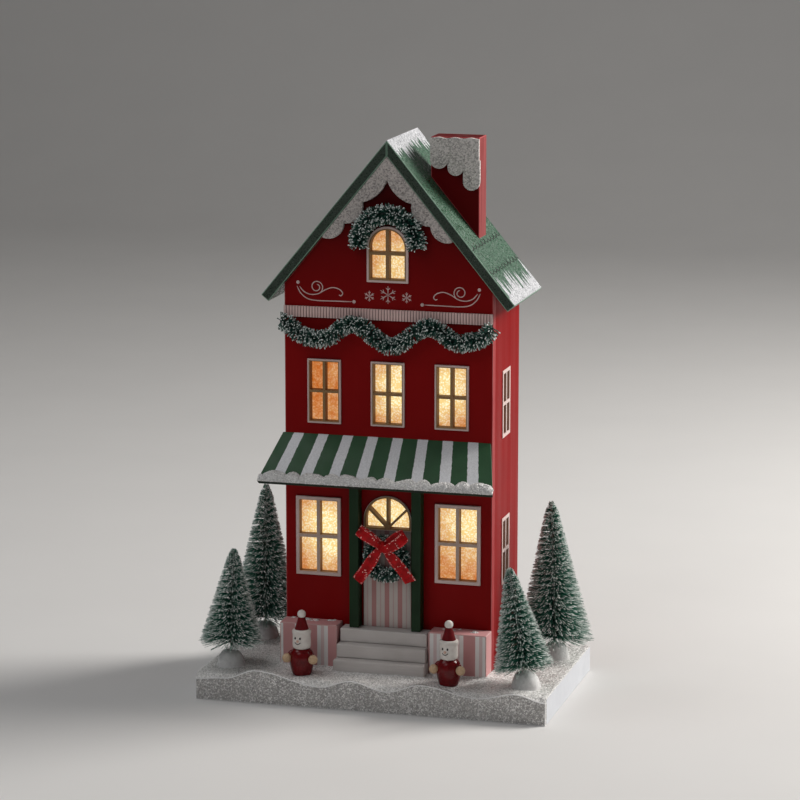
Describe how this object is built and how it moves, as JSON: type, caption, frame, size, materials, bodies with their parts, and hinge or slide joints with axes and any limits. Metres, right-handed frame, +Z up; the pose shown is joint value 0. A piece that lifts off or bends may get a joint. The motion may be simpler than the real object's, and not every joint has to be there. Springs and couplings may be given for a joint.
{
  "type": "light-up wooden christmas house",
  "caption": "Painted wooden house on a snowy base board with bottle-brush trees, tinsel garlands and peg figures, lit from inside by a battery light string",
  "frame": {"origin": "middle of the base board's underside", "axes": "+X to the right of the house's front, +Y to the back, +Z up"},
  "size_m": [0.2302, 0.1254, 0.3396],
  "materials": {
    "snow": "glitter",
    "red_paint": "satin",
    "green_paint": "satin",
    "roof_green": "glitter",
    "frame_pink": "matt",
    "stripe_pink": "matt",
    "step_white": "matt",
    "film": "frosted",
    "tinsel": "satin",
    "bristle": "frosted",
    "ribbon": "satin",
    "peg_red": "satin",
    "peg_cream": "satin",
    "bare_wood": "matt",
    "case_plastic": "matt",
    "switch_grey": "satin",
    "cell_wrap": "gloss",
    "steel": "bright",
    "wire": "matt",
    "bulb": "clear"
  },
  "bodies": {
    "house": {"base_board": "snow", "snow_skirt": "snow", "gable_snow_trim": "snow", "chimney_snow": "snow", "awning_snow": "snow", "tree_mound_front_left": "snow", "tree_mound_front_right": "snow", "tree_mound_back_left": "snow", "tree_mound_back_right": "snow", "front_panel": "red_paint", "left_wall": "red_paint", "right_wall": "red_paint", "back_panel": "red_paint", "chimney": "red_paint", "awning": "green_paint", "door_post_left": "green_paint", "door_post_right": "green_paint", "roof_left": "roof_green", "roof_right": "roof_green", "door_panel": "frame_pink", "fanlight_frame": "frame_pink", "gable_window_frame": "frame_pink", "upper_window_frames": "frame_pink", "lower_window_frames": "frame_pink", "side_window_frames": "frame_pink", "cornice_strip": "stripe_pink", "plinth_left": "stripe_pink", "plinth_right": "stripe_pink", "step_lower": "step_white", "step_middle": "step_white", "step_upper": "step_white", "front_window_film": "film", "side_window_films": "film", "swag_garland": "tinsel", "arch_garland": "tinsel", "door_wreath": "tinsel", "tree_brush_front_left": "bristle", "tree_brush_front_right": "bristle", "tree_brush_back_left": "bristle", "tree_brush_back_right": "bristle", "ribbon_bow": "ribbon", "figure_left_body": "peg_red", "figure_right_body": "peg_red", "figure_left_cap": "peg_red", "figure_right_cap": "peg_red", "figure_arms": "peg_red", "figure_left_head": "peg_cream", "figure_right_head": "peg_cream", "figure_pompoms": "peg_cream", "figure_hands": "bare_wood", "battery_case": "case_plastic", "battery_cells": "cell_wrap", "battery_contacts": "steel", "case_screws": "steel", "light_wire": "wire", "light_bulbs": "bulb", "wire_pads": "bulb"},
    "battery_cover": {"battery_cover": "case_plastic"},
    "switch_slider": {"switch_slider": "switch_grey"}
  },
  "joints": [
    {"name": "battery_cover_hinge", "type": "hinge", "parent": "house", "child": "battery_cover", "pos_m": [-0.0068, 0.05185, 0.05905], "axis": [1, 0, 0], "range_deg": [0, 95]},
    {"name": "power_switch_slide", "type": "slide", "parent": "house", "child": "switch_slider", "axis": [1, 0, 0], "range_m": [-0.004, 0]}
  ]
}
